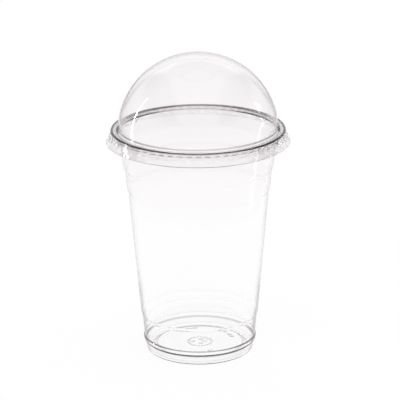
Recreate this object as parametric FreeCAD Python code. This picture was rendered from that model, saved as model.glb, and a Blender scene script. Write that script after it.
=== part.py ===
import FreeCAD, Part
import math
import os

# Clear thermoformed drinks cup with a lift-off dome lid, in millimetres.
# The origin is the centre of the foot on the table, and +Z points up through the dome.

# Cup sheet and rolled rim
cup_wall = 0.4
cup_height = 126.85
rim_outer_radius = 47.5
curl_radius = 1.25
curl_sweep = 250.0
neck_height = 3.0
flare_height = 6.6
flare_width = 3.25

# Cup wall: the foot, the bead and the lower step go up from the table, the upper steps down from the rim
foot_radius = 29.5
foot_height = 5.35
foot_lean = 0.9
foot_rounding = 0.9
contact_width = 2.4
bead_stand_out = 1.0
bead_rise = 0.55
bead_height = 1.6
bead_return = 0.35
bead_return_rise = 0.6
step_rise = 1.35
lower_step_z = 19.6
lower_step_width = 0.6
upper_step_drop = 34.25
upper_step_width = 0.7
band_step_drop = 21.85
band_step_width = 0.9

# Raised floor
floor_inset = 3.2
floor_rise = 2.0

# Lid sheet and its channel over the rim
lid_wall = 0.35
seat_gap = 0.1
rim_clearance = 0.1
ridge_rounding = 0.65
band_height = 3.15
band_lean = 0.18
skirt_height = 3.75
skirt_flare = 2.2
valley_depth = 2.05
valley_width = 0.4
valley_rounding = 0.55

# Dome
collar_inset = 0.75
collar_foot_rise = 0.6
collar_height = 3.45
shoulder_radius = 20.0
dome_bulge = 0.97

# Grip ribs on the lid's band
rib_count = 60
rib_width = 1.5
rib_stand_out = 0.3
rib_root = 0.15
rib_top_gap = 0.35
rib_skirt_reach = 0.55

# Small roundings of a section are drawn as chords, which leave the true curve by this much at most
chord_gap = 0.12


def point(radius, height):
    return FreeCAD.Vector(radius, 0, height)


def on_arc(centre, radius, degrees):
    """Place on an arc of the section, at an angle from straight outwards towards straight up."""
    angle = math.radians(degrees)
    return centre + point(radius * math.cos(angle), radius * math.sin(angle))


def chords(centre, radius, start_degrees, end_degrees):
    """Points along a small arc, as few as keep the chords within chord_gap of it."""
    widest_step = 2 * math.degrees(math.acos(1 - chord_gap / radius))
    count = math.ceil(abs(end_degrees - start_degrees) / widest_step)
    step = (end_degrees - start_degrees) / count
    return [on_arc(centre, radius, start_degrees + i * step) for i in range(count + 1)]


def arc(centre, radius, start_degrees, end_degrees):
    """Edge that follows a large arc of the section truly."""
    middle_degrees = (start_degrees + end_degrees) / 2
    ends = (start_degrees, middle_degrees, end_degrees)
    return Part.Arc(*[on_arc(centre, radius, degrees) for degrees in ends]).toShape()


def rounded(before, corner, after, rounding):
    """Points that take the corner between two places of the section with a rounding."""
    back = (before - corner).normalize()
    ahead = (after - corner).normalize()
    half_angle = back.getAngle(ahead) / 2
    centre = corner + (back + ahead).normalize() * (rounding / math.sin(half_angle))
    reach = rounding / math.tan(half_angle)
    start = corner + back * reach - centre
    end = corner + ahead * reach - centre
    start_degrees = math.degrees(math.atan2(start.z, start.x))
    end_degrees = math.degrees(math.atan2(end.z, end.x))
    turn = (end_degrees - start_degrees + 180) % 360 - 180
    return chords(centre, rounding, start_degrees, start_degrees + turn)


def turned_sheet(edges, wall):
    """Sheet of even thickness: the section line thickened to its left, then turned about the axis."""
    section = Part.Wire(edges).makeOffset2D(wall, join=2, fill=True, openResult=True)
    return section.revolve(FreeCAD.Vector(0, 0, 0), FreeCAD.Vector(0, 0, 1), 360)


def cup():
    # the sheet rolls outwards, so the line under its skin turns on a smaller radius than the rim's own
    curl_line_radius = curl_radius - cup_wall
    curl_centre = point(rim_outer_radius - curl_radius, cup_height - curl_radius)
    neck_radius = curl_centre.x - curl_line_radius

    foot_edge = point(foot_radius, 0)
    foot_top = point(foot_radius + foot_lean, foot_height)
    contact_edge = point(foot_radius - contact_width, 0)
    floor_edge = point(contact_edge.x - floor_inset, floor_rise)
    bead_foot = foot_top + point(bead_stand_out, bead_rise)
    bead_top = bead_foot + point(0, bead_height)
    wall_start = bead_top + point(-bead_return, bead_return_rise)
    places = [point(0, floor_rise), floor_edge, contact_edge]
    places += rounded(contact_edge, foot_edge, foot_top, foot_rounding)
    places += [foot_top, bead_foot, bead_top, wall_start]

    # one taper carries the wall through its steps, from the bead to the flare under the rim
    steps = [
        (lower_step_z, lower_step_width),
        (cup_height - upper_step_drop, upper_step_width),
        (cup_height - band_step_drop, band_step_width),
    ]
    flare_foot = point(neck_radius - flare_width, curl_centre.z - neck_height - flare_height)
    flare_top = point(neck_radius, curl_centre.z - neck_height)
    wall_gain = flare_foot.x - wall_start.x - sum(width for _, width in steps)
    tapered_height = flare_foot.z - wall_start.z - step_rise * len(steps)
    taper = wall_gain / tapered_height
    for step_z, step_width in steps:
        last = places[-1]
        step_foot = point(last.x + taper * (step_z - last.z), step_z)
        places += [step_foot, step_foot + point(step_width, step_rise)]
    places += [flare_foot, flare_top]
    places += chords(curl_centre, curl_line_radius, 180, 180 - curl_sweep)
    return turned_sheet(Part.makePolygon(places).Edges, cup_wall)


def lid_levels():
    """Heights and radii of the lid's channel, taken from the rim that it sits on."""
    land_z = cup_height + seat_gap + lid_wall
    bead_z = cup_height - curl_radius
    band_at_bead = rim_outer_radius + rim_clearance + lid_wall
    crease_z = land_z - band_height
    return {
        "land_z": land_z,
        "ridge_r": band_at_bead - band_lean * (land_z - bead_z),
        "crease_r": band_at_bead + band_lean * (bead_z - crease_z),
        "crease_z": crease_z,
        "valley_r": rim_outer_radius - 2 * curl_radius - rim_clearance - lid_wall,
        "valley_z": land_z - valley_depth,
    }


def dome_lid():
    lid = lid_levels()
    crease = point(lid["crease_r"], lid["crease_z"])
    skirt_edge = crease + point(skirt_flare, -skirt_height)
    ridge = point(lid["ridge_r"], lid["land_z"])
    land_edge = point(lid["valley_r"], lid["land_z"])
    valley = point(lid["valley_r"], lid["valley_z"])
    valley_end = valley - point(valley_width, 0)
    collar_radius = valley_end.x - collar_inset
    collar_foot = point(collar_radius, lid["land_z"] + collar_foot_rise)
    collar_top = collar_foot + point(0, collar_height)
    places = [skirt_edge, crease]
    places += rounded(crease, ridge, land_edge, ridge_rounding)
    places += rounded(ridge, land_edge, valley, valley_rounding)
    places += [valley, valley_end, collar_foot, collar_top]

    # the shoulder and the dome are two arcs that run into each other without a corner
    dome_radius = collar_radius + dome_bulge
    centre_gap = dome_radius - shoulder_radius
    join_degrees = math.degrees(math.acos((collar_radius - shoulder_radius) / centre_gap))
    rise = centre_gap * math.sin(math.radians(join_degrees))
    shoulder = arc(collar_top - point(shoulder_radius, 0), shoulder_radius, 0, join_degrees)
    dome = arc(point(0, collar_top.z - rise), dome_radius, join_degrees, 90)
    edges = Part.makePolygon(places).Edges + [shoulder, dome]
    return turned_sheet(edges, lid_wall).fuse(grip_ribs(lid))


def grip_ribs(lid):
    """Ribs round the band, each a pointed bar that leans with it and dies into the skirt."""
    low_z = lid["crease_z"] - rib_skirt_reach
    high_z = lid["land_z"] - ridge_rounding - rib_top_gap
    low_r = lid["crease_r"] - band_lean * (low_z - lid["crease_z"])
    outline = [
        FreeCAD.Vector(low_r - rib_root, -rib_width / 2, low_z),
        FreeCAD.Vector(low_r + rib_stand_out, 0, low_z),
        FreeCAD.Vector(low_r - rib_root, rib_width / 2, low_z),
    ]
    face = Part.Face(Part.makePolygon(outline + [outline[0]]))
    rib = face.extrude(FreeCAD.Vector(-band_lean * (high_z - low_z), 0, high_z - low_z))
    pitch = 360.0 / rib_count
    ribs = []
    for i in range(rib_count):
        # no rib lies straight in front: the two middle ones stand half a pitch to each side
        turned = rib.copy()
        turned.rotate(FreeCAD.Vector(0, 0, 0), FreeCAD.Vector(0, 0, 1), -90 + (i + 0.5) * pitch)
        ribs.append(turned)
    return ribs


os.makedirs("parts", exist_ok=True)
for name, shape in (("cup", cup()), ("dome_lid", dome_lid())):
    solid = shape.Solids[0]
    print(name, "solids", len(shape.Solids), "volume", round(solid.Volume, 1), "valid", solid.isValid())
    solid.exportStep("parts/" + name + ".step")
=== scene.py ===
import math

import bpy
import numpy as np
from mathutils import Matrix, Vector


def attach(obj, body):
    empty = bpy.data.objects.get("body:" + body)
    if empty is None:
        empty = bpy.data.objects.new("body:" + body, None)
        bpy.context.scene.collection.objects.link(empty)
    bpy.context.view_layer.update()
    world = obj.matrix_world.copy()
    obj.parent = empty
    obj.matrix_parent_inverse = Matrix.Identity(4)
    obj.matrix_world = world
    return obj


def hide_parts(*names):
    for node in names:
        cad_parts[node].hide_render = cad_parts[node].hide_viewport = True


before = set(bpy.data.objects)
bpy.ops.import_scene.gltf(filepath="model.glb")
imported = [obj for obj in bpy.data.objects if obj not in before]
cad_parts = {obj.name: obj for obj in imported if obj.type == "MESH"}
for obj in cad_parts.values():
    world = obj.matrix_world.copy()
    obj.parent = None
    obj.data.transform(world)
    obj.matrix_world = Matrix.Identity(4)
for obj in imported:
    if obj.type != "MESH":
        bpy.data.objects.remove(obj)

print("stage 1: the packed frame is loaded")

mm = 0.001
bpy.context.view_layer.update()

cameraSetup = {  # millimetres and degrees, fitted to the photograph
    "place": (0.0, -1232.43, 498.41),
    "target": (0.704, 0.0, 85.80),
    "roll": -0.4812,
    "lens": 212.17,
    "sensor": 36.0,
    "clipNear": 50.0,
    "clipFar": 50000.0,
}


def addCamera(setup):
    data = bpy.data.cameras.new("camera")
    data.lens = setup["lens"]
    data.sensor_width = setup["sensor"]
    data.clip_start = setup["clipNear"] * mm
    data.clip_end = setup["clipFar"] * mm
    camera = bpy.data.objects.new("camera", data)
    bpy.context.collection.objects.link(camera)
    place = Vector(setup["place"]) * mm
    forward = (Vector(setup["target"]) * mm - place).normalized()
    right = forward.cross(Vector((0, 0, 1))).normalized()
    up = right.cross(forward)
    roll = math.radians(setup["roll"])
    rightRolled = math.cos(roll) * right + math.sin(roll) * up
    upRolled = math.cos(roll) * up - math.sin(roll) * right
    camera.matrix_world = Matrix((
        (rightRolled.x, upRolled.x, -forward.x, place.x),
        (rightRolled.y, upRolled.y, -forward.y, place.y),
        (rightRolled.z, upRolled.z, -forward.z, place.z),
        (0, 0, 0, 1),
    ))
    bpy.context.scene.camera = camera


addCamera(cameraSetup)
bpy.context.scene.view_settings.view_transform = "Standard"
print("stage 2: the camera stands")


class Sock:  # a socket with plain arithmetic
    def __init__(self, tree, socket):
        self.tree = tree
        self.socket = socket

    def math(self, operation, *values):
        node = self.tree.nodes.new("ShaderNodeMath")
        node.operation = operation
        for slot, value in enumerate(values):
            if isinstance(value, Sock):
                self.tree.links.new(value.socket, node.inputs[slot])
            else:
                node.inputs[slot].default_value = value
        return Sock(self.tree, node.outputs[0])

    def __add__(self, other):
        return self.math("ADD", self, other)

    def __radd__(self, other):
        return self.math("ADD", other, self)

    def __sub__(self, other):
        return self.math("SUBTRACT", self, other)

    def __rsub__(self, other):
        return self.math("SUBTRACT", other, self)

    def __mul__(self, other):
        return self.math("MULTIPLY", self, other)

    def __rmul__(self, other):
        return self.math("MULTIPLY", other, self)

    def __neg__(self):
        return self * -1.0

    def __abs__(self):
        return self.math("ABSOLUTE", self)

    def atLeast(self, other):
        return self.math("MAXIMUM", self, other)

    def clamped(self):
        return self.math("MINIMUM", self.atLeast(0.0), 1.0)


class Nodes:  # one node tree
    def __init__(self, owner):
        owner.use_nodes = True
        self.tree = owner.node_tree
        self.tree.nodes.clear()

    def add(self, kind, settings=None, **sockets):  # Base_Color is the socket Base Color, i1 the second input
        node = self.tree.nodes.new(kind)
        for name, value in (settings or {}).items():
            setattr(node, name, value)
        for name, value in sockets.items():
            key = int(name[1:]) if name[1:].isdigit() else name.replace("_", " ")
            socket = node.inputs[key]
            if isinstance(value, Sock):
                self.tree.links.new(value.socket, socket)
            elif socket.type == "RGBA":
                socket.default_value = (*value, 1.0)
            else:
                socket.default_value = value
        return node

    def out(self, node, name=0):
        return Sock(self.tree, node.outputs[name])

    def ramp(self, value, places, ends=(0.0, 1.0)):  # smooth from one end to the other between two places
        node = self.add("ShaderNodeMapRange", {"interpolation_type": "SMOOTHSTEP"}, Value=value,
                        From_Min=places[0], From_Max=places[1], To_Min=ends[0], To_Max=ends[1])
        return self.out(node)

    def blend(self, factor, first, second):  # two colours
        node = self.add("ShaderNodeMix", {"data_type": "RGBA"}, Factor=factor, A=first, B=second)
        return self.out(node, "Result")

    def split(self, vector):  # a vector's x, y and z
        node = self.add("ShaderNodeSeparateXYZ", Vector=vector)
        return [self.out(node, axis) for axis in "XYZ"]

    def inPlastic(self, path):  # 1 on rays that a clear surface has thrown back or let through
        return (self.out(path, "Is Glossy Ray") + self.out(path, "Is Transmission Ray")).clamped()


def ramped(value, places):  # 0 at the first place, 1 at the second, smooth between
    share = np.clip((value - places[0]) / (places[1] - places[0]), 0, 1)
    return share * share * (3 - 2 * share)


def addMesh(name, verts, faces):
    mesh = bpy.data.meshes.new(name)
    mesh.from_pydata(verts, [], faces)
    piece = bpy.data.objects.new(name, mesh)
    bpy.context.collection.objects.link(piece)
    return piece


# how every sheet is divided into points, in millimetres and degrees

sheetMesh = {
    "segments": 240,
    "finer": 5,  # times as many points round a row that has relief
    "roundingStep": 12.0,
    "wallSpacing": 6.0,
    "foldSpacing": 0.2,
    "foldReach": 2.6,  # half widths of a fold within which foldSpacing holds
    "mitreLimit": 0.5,
    "onAxis": 1e-6,
}

# a fold's painted shade line: how it widens and where its strengths in front, at the sides and behind take
# over

foldLine = {
    "edge": (0.75, 1.25),
    "frontFrom": (-0.3, 0.3),
    "sideFrom": (0.25, 0.8),
    "sideWider": 0.3,
    "backWider": 0.3,
    "backSideWider": 0.7,
}


# a section line comes from corners of (radius, height, rounding) in millimetres


def arcLine(centre, radius, startDegrees, endDegrees, stepDegrees):
    count = math.ceil(abs(endDegrees - startDegrees) / stepDegrees)
    line = []
    for k in range(count + 1):
        angle = math.radians(startDegrees + (endDegrees - startDegrees) * k / count)
        line.append(Vector((centre[0] + radius * math.cos(angle), centre[1] + radius * math.sin(angle))))
    return line


def roundedLine(corners):
    places = [Vector((c[0], c[1])) for c in corners]
    line = [places[0]]
    for i in range(1, len(corners) - 1):
        corner, rounding = places[i], corners[i][2]
        if rounding == 0:
            line.append(corner)
            continue
        back = (places[i - 1] - corner).normalized()
        ahead = (places[i + 1] - corner).normalized()
        half = back.angle(ahead) / 2
        centre = corner + (back + ahead).normalized() * (rounding / math.sin(half))
        reach = rounding / math.tan(half)
        start = corner + back * reach - centre
        end = corner + ahead * reach - centre
        startAngle = math.degrees(math.atan2(start.y, start.x))
        turn = (math.degrees(math.atan2(end.y, end.x)) - startAngle + 180) % 360 - 180
        step = min(sheetMesh["roundingStep"], abs(turn) / 2)
        line += arcLine(centre, rounding, startAngle, startAngle + turn, step)
    line.append(places[-1])
    return line


def distance(radius, height, fold):
    return math.hypot(radius - fold[0], height - fold[1])


def filled(line, longest, fine, folds=()):  # adds points, closer together beside a fold
    dense = [line[0]]
    for a, b in zip(line, line[1:]):
        count = max(1, math.ceil((b - a).length / fine))
        kept = a
        for k in range(1, count + 1):
            here = a.lerp(b, k / count)
            close = any(distance(here.x, here.y, fold) < sheetMesh["foldReach"] * fold[2] for fold in folds)
            if close or k == count or (here - kept).length > longest - fine:
                dense.append(here)
                kept = here
    return dense


def otherSkin(line, walls):  # the same line, a wall's thickness to its left
    skin = []
    for i, here in enumerate(line):
        before = line[i] - line[i - 1] if i > 0 else line[1] - line[0]
        after = line[i + 1] - line[i] if i + 1 < len(line) else before
        leftBefore = Vector((-before.y, before.x)).normalized()
        left = (leftBefore + Vector((-after.y, after.x)).normalized()).normalized()
        share = max(sheetMesh["mitreLimit"], left.dot(leftBefore))
        skin.append(here + left * (walls[i] / share))
    return skin


def closedLoop(line, walls):  # both skins as one line, and the rows of it that are the outside
    inside = otherSkin(line, walls)
    if line[0].x < sheetMesh["onAxis"]:
        inside[0].x = 0.0
        return line + inside[::-1], range(len(line))
    inside[-1].x = 0.0
    return inside[::-1] + line, range(len(line), 2 * len(line))


def foldShade(radius, height, angles, shade, shape, folds):  # how dark the painted fold shade makes each point of a row
    front = ramped(-np.sin(angles), foldLine["frontFrom"])
    sideways = np.abs(np.cos(angles))
    aside = ramped(sideways, foldLine["sideFrom"]) * front
    aside = aside + ramped(sideways, shape["sideBehind"]) * (1 - front)
    for foldR, foldZ, half, (ahead, side, behind) in folds:
        backWider = (foldLine["backWider"] + foldLine["backSideWider"] * aside) * (1 - front) * behind
        reach = half * (1 + foldLine["sideWider"] * aside + backWider)
        close = 1 - ramped(distance(radius, height, (foldR, foldZ)) / reach, foldLine["edge"])
        middle = behind + (ahead - behind) * front
        shade = np.maximum(shade, close * (middle + (side - middle) * aside))
    return shade


def ringFaces(rows, segments):
    faces = []
    for low, high in zip(rows, rows[1:]):
        lowStep = len(low) // segments
        highStep = len(high) // segments
        for k in range(segments):
            near = [low[(k * lowStep + i) % len(low)] for i in range(lowStep + 1)]
            far = [high[(k * highStep + i) % len(high)] for i in range(highStep + 1)]
            if lowStep == highStep and lowStep > 1:
                faces += [(near[i], near[i + 1], far[i + 1], far[i]) for i in range(lowStep)]
            else:  # a plain row, the axis, or a fine row beside a plain one
                faces.append(list(dict.fromkeys(near + far[::-1])))
    return faces


def turned(name, line, walls, shape, relief, folds):  # a sheet turned about the axis, with relief outside
    segments, finer = sheetMesh["segments"], sheetMesh["finer"]
    fineAngles = np.arange(segments * finer) * (2 * math.pi / (segments * finer))
    loop, outside = closedLoop(line, walls)
    verts, rows, shades = [], [], []
    for j, p in enumerate(loop):
        out, up, shade = relief(p.x, p.y, fineAngles)
        angles = fineAngles
        if j not in outside:
            out, up, shade = 0 * out, 0 * up, 0 * shade
        if np.abs(out).max() == 0:
            angles, out, up, shade = (values[::finer] for values in (angles, out, up, shade))
        if p.x < sheetMesh["onAxis"]:
            rows.append([len(verts)])
            verts.append((0.0, 0.0, (p.y + up[0]) * mm))
            shades.append(0.0)
            continue
        rows.append(range(len(verts), len(verts) + len(angles)))
        r = (p.x + out) * mm
        verts += list(zip(r * np.cos(angles), r * np.sin(angles), (p.y + up) * mm))
        shades += list(foldShade(p.x, p.y, angles, shade, shape, folds))
    piece = addMesh(name, verts, ringFaces(rows, segments))
    # the fold value is painted shade: dark lines along folds, ribs, arches and floor marks
    piece.data.attributes.new("fold", "FLOAT", "POINT").data.foreach_set("value", shades)
    for polygon in piece.data.polygons:
        polygon.use_smooth = True
    return piece


cupShape = {
    "wall": 0.4,
    "height": 126.85,
    "rimRadius": 47.5,
    "curlRadius": 1.25,
    "curlSweep": 250.0,
    "curlStep": 10.0,
    "neckHeight": 3.0,
    "flareHeight": 6.6,
    "flareWidth": 3.25,
    "flareRounding": 2.0,
    "footRadius": 29.5,
    "footHeight": 5.35,
    "footLean": 0.9,
    "footRounding": 0.5,
    "contactWidth": 2.4,
    "beadStandOut": 1.0,
    "beadRise": 0.55,
    "beadHeight": 1.6,
    "beadReturn": 0.35,
    "beadReturnRise": 0.6,
    "beadRounding": 0.45,
    "beadFoldRounding": 0.2,
    "steps": ((20.1, 0.6), (92.6, 0.7), (105.0, 0.9)),  # height and width
    "stepRise": 1.35,
    "stepRounding": 2.9,
    "floorInset": 3.2,
    "floorRise": 2.0,
    "floorRounding": 1.2,
    "ledgeFold": (0.54, (0.95, 0.85, 0.3)),  # half width, then strength of the painted shade in front, at the sides and behind
    "beadFold": (0.36, (0.8, 0.9, 0.12)),
    "footFold": (0.3, (0.2, 0.2, 0.2)),
    "footFoldOut": 0.35,
    "tableFold": (0.4, (0.2, 0.1, 0.2)),
    "floorFold": (0.4, (0.25, 0.25, 0.25)),
    "sideBehind": (0.85, 1.0),
}
floorMarks = {
    "height": 0.22,
    "edge": 0.35,
    "spacing": 0.5,
    # painted shade inside the pressed marks
    "shade": 0.25,
    "dashes": [  # place x and y, half length, half width and turn in degrees
        (-6.5, 19.6, 1.6, 0.45, 16), (-2.6, 20.5, 1.2, 0.45, 7), (-9.6, 18.2, 0.8, 0.4, 28),
        (12.0, 16.8, 1.1, 0.5, -36), (14.4, 14.8, 0.9, 0.5, -44), (16.9, 10.6, 1.3, 0.7, -58),
        (18.2, 7.8, 0.8, 0.6, -67), (5.6, -13.2, 1.1, 0.4, 8), (-3.9, 0.2, 1.0, 0.5, 70),
        (0.6, 3.6, 1.3, 0.5, 15), (2.3, 0.4, 1.2, 0.5, -25), (4.9, 4.0, 1.0, 0.5, 60),
        (0.4, -2.6, 0.9, 0.4, 0),
    ],
    "ringRadius": 6.6,
    "ringHalf": 0.2,
    "ringDots": 26,
    "dotEdge": (-0.2, 0.6),
}


def cupLine(c):
    curl = c["curlRadius"] - c["wall"]
    centre = (c["rimRadius"] - c["curlRadius"], c["height"] - c["curlRadius"])
    neck = centre[0] - curl
    contact = c["footRadius"] - c["contactWidth"]
    footTop = c["footRadius"] + c["footLean"]
    beadR = footTop + c["beadStandOut"]
    beadZ = c["footHeight"] + c["beadRise"]
    wallR = beadR - c["beadReturn"]
    wallZ = beadZ + c["beadHeight"] + c["beadReturnRise"]
    corners = [
        (0, c["floorRise"], 0),
        (contact - c["floorInset"], c["floorRise"], c["floorRounding"]),
        (contact, 0, c["footRounding"]),
        (c["footRadius"], 0, c["footRounding"]),
        (footTop, c["footHeight"], c["beadFoldRounding"]),
        (beadR, beadZ, c["beadRounding"]),
        (beadR, beadZ + c["beadHeight"], c["beadRounding"]),
        (wallR, wallZ, c["beadFoldRounding"]),
    ]

    # one taper carries the wall through its steps, up to the flare
    flareZ = centre[1] - c["neckHeight"] - c["flareHeight"]
    gain = neck - c["flareWidth"] - wallR - sum(width for _, width in c["steps"])
    taper = gain / (flareZ - wallZ - c["stepRise"] * len(c["steps"]))
    radius, z = wallR, wallZ
    for stepZ, width in c["steps"]:
        radius += taper * (stepZ - z)
        corners.append((radius, stepZ, c["stepRounding"]))
        radius += width
        z = stepZ + c["stepRise"]
        corners.append((radius, z, c["stepRounding"]))
    corners.append((neck - c["flareWidth"], flareZ, c["flareRounding"]))
    corners.append((neck, flareZ + c["flareHeight"], c["flareRounding"]))
    corners.append((neck, centre[1], 0))
    line = roundedLine(corners)
    line = line[:-1] + arcLine(centre, curl, 180, 180 - c["curlSweep"], c["curlStep"])

    folds = [
        (footTop, c["footHeight"], *c["ledgeFold"]),
        (wallR, wallZ, *c["beadFold"]),
        (c["footRadius"] + c["footFoldOut"], c["floorRise"], *c["footFold"]),
        (c["footRadius"], 0, *c["tableFold"]),
        (contact - c["floorInset"], c["floorRise"], *c["floorFold"]),
    ]
    floorPart = filled(line[:2], floorMarks["spacing"], floorMarks["spacing"])
    wallPart = filled(line[1:], sheetMesh["wallSpacing"], sheetMesh["foldSpacing"], folds)
    return floorPart + wallPart[1:], folds


def cupRelief(radius, height, angles):  # outwards, upwards and painted shade: the marks are pressed into the floor and painted darker
    x = radius * np.cos(angles)
    y = radius * np.sin(angles)
    edge = (0, floorMarks["edge"])
    mark = 0 * x
    for markX, markY, halfLength, halfWidth, degrees in floorMarks["dashes"]:
        turn = math.radians(degrees)
        along = (x - markX) * math.cos(turn) + (y - markY) * math.sin(turn)
        across = (y - markY) * math.cos(turn) - (x - markX) * math.sin(turn)
        far = np.hypot(np.maximum(np.abs(along) - halfLength, 0), np.maximum(np.abs(across) - halfWidth, 0))
        mark = np.maximum(mark, 1 - ramped(far, edge))
    fromRing = max(abs(radius - floorMarks["ringRadius"]) - floorMarks["ringHalf"], 0)
    dots = ramped(np.sin(angles * floorMarks["ringDots"]), floorMarks["dotEdge"])
    mark = np.maximum(mark, (1 - ramped(fromRing, edge)) * dots)
    floorRadius = cupShape["footRadius"] - cupShape["contactWidth"] - cupShape["floorInset"]
    mark = mark * (radius < floorRadius and height < cupShape["footHeight"])
    return 0 * mark, -floorMarks["height"] * mark, floorMarks["shade"] * mark


lidShape = {
    "wall": 0.35,
    "lipWall": 0.16,
    "lipLength": 1.5,
    "seatGap": 0.1,
    "rimClearance": 0.1,
    "ridgeRounding": 0.65,
    "bandHeight": 3.15,
    "bandLean": 0.18,
    "skirtHeight": 3.75,
    "skirtFlare": 2.2,
    "creaseRounding": 0.5,
    "valleyDepth": 2.05,
    "valleyWidth": 0.4,
    "valleyRounding": 0.55,
    "valleyFloorRounding": 0.18,
    "collarInset": 0.75,
    "collarFootRise": 0.6,
    "collarFootRounding": 0.6,
    "collarHeight": 3.45,
    "shoulderRadius": 20.0,
    "shoulderStep": 5.0,
    "domeBulge": 0.97,
    "domeStep": 4.0,
    "bandSpacing": 0.28,
    "bandFoldSpacing": 0.14,
    "ridgeFold": (0.6, (0.78, 1.0, 0.9)),  # half width, then strength of the painted shade in front, at the sides and behind
    "ridgeFoldIn": 0.15,
    "ridgeFoldDown": 0.12,
    "valleyFold": (0.36, (0.65, 1.0, 0.65)),
    "collarFold": (0.45, (0.35, 0.5, 0.35)),
    "creaseFold": (0.25, (0.2, 0.05, 0.1)),
    "landFold": (1.1, (0.0, 0.2, 0.1)),
    "lipFold": (0.3, (0.9, 0.15, 0.2)),
    "sideBehind": (0.3, 0.7),
}


def lidLevels(c, cup):  # the lid's channel takes its heights and radii from the rim that it sits on
    landZ = cup["height"] + c["seatGap"] + c["wall"]
    beadZ = cup["height"] - cup["curlRadius"]
    bandAtBead = cup["rimRadius"] + c["rimClearance"] + c["wall"]
    creaseZ = landZ - c["bandHeight"]
    return {
        "landZ": landZ,
        "ridgeR": bandAtBead - c["bandLean"] * (landZ - beadZ),
        "creaseR": bandAtBead + c["bandLean"] * (beadZ - creaseZ),
        "creaseZ": creaseZ,
        "valleyR": cup["rimRadius"] - 2 * cup["curlRadius"] - c["rimClearance"] - c["wall"],
        "valleyZ": landZ - c["valleyDepth"],
    }


def lidLine(c, levels):
    creaseR, creaseZ = levels["creaseR"], levels["creaseZ"]
    valleyR, valleyZ = levels["valleyR"], levels["valleyZ"]
    ridgeR, landZ = levels["ridgeR"], levels["landZ"]
    collarR = valleyR - c["valleyWidth"] - c["collarInset"]
    footZ = landZ + c["collarFootRise"]
    topZ = footZ + c["collarHeight"]
    corners = [
        (creaseR + c["skirtFlare"], creaseZ - c["skirtHeight"], 0),
        (creaseR, creaseZ, c["creaseRounding"]),
        (ridgeR, landZ, c["ridgeRounding"]),
        (valleyR, landZ, c["valleyRounding"]),
        (valleyR, valleyZ, c["valleyFloorRounding"]),
        (valleyR - c["valleyWidth"], valleyZ, c["valleyFloorRounding"]),
        (collarR, footZ, c["collarFootRounding"]),
        (collarR, topZ, 0),
    ]
    line = roundedLine(corners)

    # the shoulder and the dome are two arcs that run into each other
    domeR = collarR + c["domeBulge"]
    shoulderX = collarR - c["shoulderRadius"]
    gap = domeR - c["shoulderRadius"]
    join = math.degrees(math.acos(shoulderX / gap))
    rise = gap * math.sin(math.radians(join))
    line += arcLine((shoulderX, topZ), c["shoulderRadius"], 0, join, c["shoulderStep"])[1:]
    line += arcLine((0, topZ - rise), domeR, join, 90, c["domeStep"])[1:]
    line[-1] = Vector((0.0, topZ - rise + domeR))

    folds = [
        (ridgeR - c["ridgeFoldIn"], landZ - c["ridgeFoldDown"], *c["ridgeFold"]),
        (valleyR - c["valleyWidth"] / 2, valleyZ, *c["valleyFold"]),
        ((ridgeR + valleyR) / 2, landZ, *c["landFold"]),
        (collarR, footZ, *c["collarFold"]),
        (creaseR, creaseZ, *c["creaseFold"]),
        (creaseR + c["skirtFlare"], creaseZ - c["skirtHeight"], *c["lipFold"]),
    ]
    band = next(i for i, p in enumerate(line) if p.y > landZ - c["ridgeRounding"])
    bandPart = filled(line[:band], c["bandSpacing"], c["bandFoldSpacing"], folds)
    domePart = filled(line[band - 1:], sheetMesh["wallSpacing"], sheetMesh["foldSpacing"], folds)
    return bandPart + domePart[1:], folds


def lidWalls(c, line):  # the sheet thins towards its cut edge
    thinned = c["wall"] - c["lipWall"]
    return [c["lipWall"] + thinned * min(1.0, (p - line[0]).length / c["lipLength"]) for p in line]


gripRibs = {
    "count": 60,
    "standOut": 0.16,
    "topGap": 0.3,
    "skirtReach": 1.0,
    "fade": 0.4,
    "bandDepth": 1.0,  # the relief keeps to radii over the rim's less this
    # line, shade and the arch values below paint shade: grey strokes on the ribs and dashes over the arches
    "line": 0.75,
    "shade": 0.6,
    "shadeAhead": 0.12,
    "sideFrom": (0.5, 0.85),
    "windowTop": 126.25,
    "windowArch": 0.8,
    "windowHalf": 1.95,
    "windowEdge": 0.8,
    "archHalf": 0.2,
    "archShade": 0.8,
    "archSideLoss": 0.8,
}


def lidRelief(radius, height, angles):  # outwards, upwards and painted shade: ribs between round-topped windows
    g = gripRibs
    levels = lidLevels(lidShape, cupShape)
    rimRadius = cupShape["rimRadius"]
    lowZ = levels["creaseZ"] - g["skirtReach"]
    highZ = levels["landZ"] - lidShape["ridgeRounding"] - g["topGap"]
    along = ramped(height, (lowZ - g["fade"], lowZ)) * (1 - ramped(height, (highZ, highZ + g["fade"])))
    along = along * (radius > rimRadius - g["bandDepth"])
    pitch = 2 * math.pi / g["count"]
    across = (0.5 - np.abs((angles + math.pi / 2) / pitch % 1.0 - 0.5)) * pitch * rimRadius
    archZ = g["windowTop"] - g["windowArch"]
    arch = max(height - archZ, 0) * g["windowHalf"] / g["windowArch"]
    windowSide = (g["windowHalf"] - g["windowEdge"], g["windowHalf"])
    out = along * ramped(np.hypot(across, arch), windowSide) * g["standOut"]

    # the ribs' painted shade is strongest at the sides, and the arches' in front
    aside = ramped(np.abs(np.cos(angles)), g["sideFrom"])
    lineFrom = pitch * rimRadius / 2 - g["line"]
    bar = ramped(across, (lineFrom, lineFrom + g["line"] / 2))
    bar = bar * (g["shadeAhead"] + (g["shade"] - g["shadeAhead"]) * aside)
    arched = 1 - ramped(abs(height - archZ), (g["archHalf"], 2 * g["archHalf"]))
    arched = arched * (1 - ramped(across, windowSide)) * (1 - g["archSideLoss"] * aside) * g["archShade"]
    return out, 0 * out, along * np.maximum(bar, arched)


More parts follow.
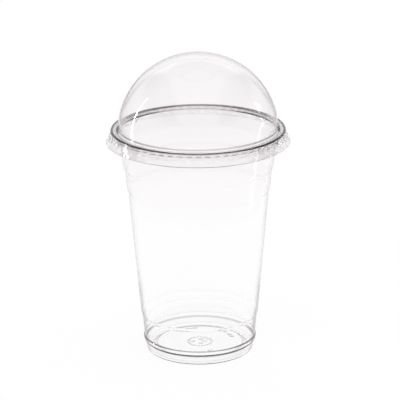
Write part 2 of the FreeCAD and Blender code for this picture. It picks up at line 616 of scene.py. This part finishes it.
cupOutside, cupFolds = cupLine(cupShape)
lidOutside, lidFolds = lidLine(lidShape, lidLevels(lidShape, cupShape))
cup = turned("cup_shell", cupOutside, [cupShape["wall"]] * len(cupOutside), cupShape, cupRelief, cupFolds)
lid = turned("dome_lid_shell", lidOutside, lidWalls(lidShape, lidOutside), lidShape, lidRelief, lidFolds)
print("stage 3: the shells are turned:", len(cup.data.polygons), len(lid.data.polygons))


cupPlastic = {  # pairs run from low to high, between the two heights that follow them, in metres
    # the sheet's faint pink is its own tint; its greying towards the top is painted shade
    "tintAndShade": ((0.999, 0.996, 0.997), (0.975, 0.962, 0.968)),
    "tintAndShadeTo": (0.078, 0.098),
    # how strong the painted shade at grazing edges is, stronger towards the bottom
    "edgeShadeStrength": (2.0, 0.35),
    "edgeShadeStrengthTo": (0.018, 0.05),
    "body": (1.0, 0.6),
    "bodyTo": (0.1215, 0.1235),
    "ior": 1.42,
}
lidPlastic = {
    "tintAndShade": ((0.995, 0.984, 0.989), (0.996, 0.983, 0.988)),
    "tintAndShadeTo": (0.1272, 0.129),
    # how strong the painted shade at grazing edges is, stronger on the dome than below it
    "edgeShadeStrength": (0.1, 0.8),
    "edgeShadeStrengthTo": (0.1272, 0.129),
    "body": (0.65, 1.0),
    "bodyTo": (0.1258, 0.1268),
    "ior": 1.5,
}
plastic = {
    # painted shade: the colours that darken the sheet at grazing edges and along folds
    "paintedEdgeShadeColour": (0.42, 0.36, 0.38),
    "paintedEdgeShadeFrom": 0.6,
    "paintedFoldShadeColour": (0.06, 0.04, 0.05),
    "roughness": 0.0,
    "shadowTint": (0.97, 0.97, 0.97),
}


def clearPlastic(name, own, values):
    material = bpy.data.materials.new(name)
    nodes = Nodes(material)
    facing = nodes.out(nodes.add("ShaderNodeLayerWeight"), "Facing")
    height = nodes.split(nodes.out(nodes.add("ShaderNodeTexCoord"), "Object"))[2]
    fold = nodes.out(nodes.add("ShaderNodeAttribute", {"attribute_name": "fold"}), "Fac")
    # painted shade at grazing edges, where the sheet is seen side-on
    edgeShadeStrength = nodes.ramp(height, own["edgeShadeStrengthTo"], own["edgeShadeStrength"])
    edge = (nodes.ramp(facing, (values["paintedEdgeShadeFrom"], 1.0)) * edgeShadeStrength).clamped()
    # the sheet's own tint, greyed towards the cup's top by painted shade
    sheet = nodes.blend(nodes.ramp(height, own["tintAndShadeTo"]), *own["tintAndShade"])
    # painted shade along folds, ribs and floor marks darkens the sheet's colour
    colour = nodes.blend(fold, nodes.blend(edge, sheet, values["paintedEdgeShadeColour"]), values["paintedFoldShadeColour"])
    body = nodes.ramp(height, own["bodyTo"], own["body"]).atLeast(fold)
    glass = nodes.add("ShaderNodeBsdfPrincipled", Base_Color=colour, Alpha=body, IOR=own["ior"],
                      Roughness=values["roughness"], Transmission_Weight=1.0)
    clear = nodes.add("ShaderNodeBsdfTransparent", Color=values["shadowTint"])
    inShadow = nodes.out(nodes.add("ShaderNodeLightPath"), "Is Shadow Ray")
    mix = nodes.add("ShaderNodeMixShader", Fac=inShadow, i1=nodes.out(glass), i2=nodes.out(clear))
    nodes.add("ShaderNodeOutputMaterial", Surface=nodes.out(mix))
    return material


cup.data.materials.append(clearPlastic("cupPlastic", cupPlastic, plastic))
lid.data.materials.append(clearPlastic("lidPlastic", lidPlastic, plastic))
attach(cup, "cup_body")
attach(lid, "lid_body")
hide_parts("cup")
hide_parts("dome_lid")


studio = {  # metres, and shares of a direction for the sky
    "floorHalf": 6.0,
    "floorDrop": 0.0002,
    "floorColour": (0.95, 0.95, 0.95),
    "floorWhite": 0.94,
    "paperSide": (0.26, 0.34),
    "paperFront": (0.25, 0.5),
    "paperDark": (0.45, 0.42, 0.43),
    "white": (1.0, 1.0, 1.0),
    "skyTilt": 0.4,
    "skyGrey": (0.5, 0.47, 0.48),
    "skyGreyTo": (0.2, 0.5),
    "sideFrom": (0.4, 0.55),
    "sideLow": (0.6, 0.57, 0.58),
    "sideDark": (0.08, 0.06, 0.07),
    "sideDarkTo": (0.3, 0.55),
}
strips = [  # metres, degrees and watts
    {"azimuth": 163.0, "height": 0.55, "distance": 1.6, "lean": 0.0,
     "width": 0.06, "length": 1.1, "power": 5.0},
    {"azimuth": 163.0, "height": 0.002, "distance": 0.95, "lean": 90.0,
     "width": 0.06, "length": 1.3, "power": 0.7},
    {"azimuth": 16.0, "height": 0.2, "distance": 1.6, "lean": 0.0,
     "width": 0.1, "length": 0.38, "power": 0.1},
]


def addFloor(values):
    half = values["floorHalf"]
    corners = [(-half, -half, 0), (half, -half, 0), (half, half, 0), (-half, half, 0)]
    floor = addMesh("floor", corners, [(0, 1, 2, 3)])
    floor.location.z = -values["floorDrop"]
    material = bpy.data.materials.new("floorWhite")
    nodes = Nodes(material)
    path = nodes.add("ShaderNodeLightPath")
    seen = (nodes.out(path, "Is Camera Ray") + nodes.inPlastic(path)).clamped()
    mirrored = (nodes.out(path, "Is Glossy Ray") - nodes.out(path, "Is Transmission Ray")).clamped()
    x, y, _ = nodes.split(nodes.out(nodes.add("ShaderNodeNewGeometry"), "Position"))
    offPaper = nodes.ramp(abs(x), values["paperSide"]).atLeast(nodes.ramp(-y, values["paperFront"]))
    shade = nodes.blend(offPaper * mirrored, values["white"], values["paperDark"])
    plain = nodes.add("ShaderNodeBsdfDiffuse", Color=values["floorColour"])
    glow = nodes.add("ShaderNodeEmission", Color=shade, Strength=1.0)
    mix = nodes.add("ShaderNodeMixShader", Fac=seen * values["floorWhite"], i1=nodes.out(plain),
                    i2=nodes.out(glow))
    nodes.add("ShaderNodeOutputMaterial", Surface=nodes.out(mix))
    floor.data.materials.append(material)


def addWorld(values):
    world = bpy.data.worlds.new("world")
    bpy.context.scene.world = world
    nodes = Nodes(world)
    inPlastic = nodes.inPlastic(nodes.add("ShaderNodeLightPath"))
    x, y, z = nodes.split(nodes.out(nodes.add("ShaderNodeTexCoord"), "Generated"))
    grey = nodes.ramp(z - y * values["skyTilt"], values["skyGreyTo"])
    above = nodes.blend(grey * inPlastic, values["white"], values["skyGrey"])
    side = nodes.blend(nodes.ramp(z, values["sideDarkTo"]), values["sideLow"], values["sideDark"])
    sky = nodes.blend(nodes.ramp(abs(x), values["sideFrom"]) * inPlastic, above, side)
    background = nodes.add("ShaderNodeBackground", Color=sky, Strength=1.0)
    nodes.add("ShaderNodeOutputWorld", Surface=nodes.out(background))


def addStrip(values):
    data = bpy.data.lights.new("strip", "AREA")
    data.shape = "RECTANGLE"
    data.size = values["width"]
    data.size_y = values["length"]
    data.energy = values["power"]
    strip = bpy.data.objects.new("strip", data)
    bpy.context.collection.objects.link(strip)
    azimuth = math.radians(values["azimuth"])
    away = values["distance"]
    strip.location = (away * math.cos(azimuth), away * math.sin(azimuth), values["height"])
    strip.rotation_euler = (math.pi / 2 + math.radians(values["lean"]), 0, azimuth + math.pi / 2)


addFloor(studio)
addWorld(studio)
for strip in strips:
    addStrip(strip)
print("stage 4: materials and light are set")
